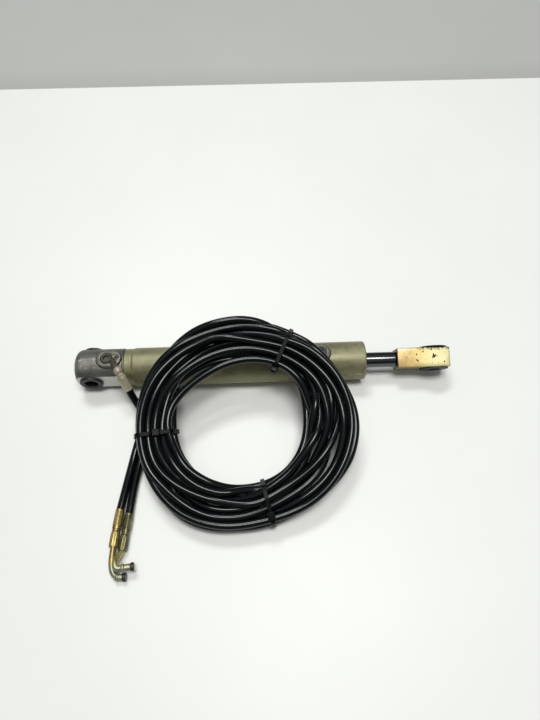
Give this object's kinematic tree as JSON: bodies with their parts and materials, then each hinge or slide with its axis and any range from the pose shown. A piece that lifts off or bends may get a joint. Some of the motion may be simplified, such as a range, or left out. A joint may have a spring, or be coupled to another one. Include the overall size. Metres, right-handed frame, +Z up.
{
  "type": "double-acting hydraulic cylinder",
  "caption": "Small double-acting hydraulic cylinder with a cross eye at the base, a rectangular eye block on the rod, and two long hoses tied in one coil, ending in bent push-in spigots.",
  "frame": {"origin": "on the supporting plane, below the middle of the cylinder's length (hoses left out)", "axes": "+X along the cylinder towards the rod end, +Z up; the hoses lie on the -Y side"},
  "size_m": [0.2428, 0.1503, 0.0445],
  "materials": {
    "olive_chromate": "olive-yellow chromate on steel tube, satin",
    "grey_casting": "dark grey cast metal, pitted, satin",
    "hard_chrome": "polished hard chrome",
    "yellow_chromate": "yellow-gold chromate, iridescent, pitted",
    "brass_chromate": "brass-coloured chromate, satin gloss",
    "beige_plating": "dull beige plating",
    "bright_steel": "machined steel",
    "seal_rubber": "black nitrile rubber",
    "filled_ptfe": "filled PTFE",
    "bronze": "bearing bronze",
    "black_plastic": "black polyamide",
    "black_hose": "glossy black hose cover"
  },
  "bodies": {
    "barrel": {"base_cap": "grey_casting", "base_ferrule": "beige_plating", "base_port_flange": "grey_casting", "base_port_screw": "bright_steel", "cable_tie_bottom": "black_plastic", "cable_tie_left": "black_plastic", "cable_tie_top": "black_plastic", "cap_oring": "seal_rubber", "cylinder_tube": "olive_chromate", "eye_bush_front": "black_plastic", "eye_bush_rear": "black_plastic", "gland_guide_bush": "bronze", "gland_oring": "seal_rubber", "gland_retaining_ring": "bright_steel", "hose_a_end_ferrule": "brass_chromate", "hose_a_end_oring": "seal_rubber", "hose_a_end_socket": "brass_chromate", "hose_a_end_spigot": "brass_chromate", "hose_a_lead": "black_hose", "hose_a_tail": "black_hose", "hose_b_end_ferrule": "brass_chromate", "hose_b_end_oring": "seal_rubber", "hose_b_end_socket": "brass_chromate", "hose_b_end_spigot": "brass_chromate", "hose_b_lead": "black_hose", "hose_b_tail": "black_hose", "hose_coil": "black_hose", "rod_ferrule": "beige_plating", "rod_gland": "bright_steel", "rod_port_flange": "grey_casting", "rod_port_screw": "bright_steel", "rod_seal": "seal_rubber", "rod_wiper": "seal_rubber"},
    "piston_seals": {"piston_seal": "filled_ptfe", "piston_energiser": "seal_rubber", "piston_guide_ring": "filled_ptfe"},
    "rod": {"piston_rod": "hard_chrome", "piston": "bright_steel", "piston_nut": "bright_steel", "rod_end_block": "yellow_chromate", "block_bush_front": "black_plastic", "block_bush_rear": "black_plastic"}
  },
  "joints": [
    {"name": "rod_slide", "type": "slide", "parent": "barrel", "child": "piston_seals", "axis": [1, 0, 0], "range_m": [0, 0.095]},
    {"name": "rod_spin", "type": "hinge", "parent": "piston_seals", "child": "rod", "pos_m": [0, 0, 0.0125], "axis": [1, 0, 0], "continuous": true}
  ]
}
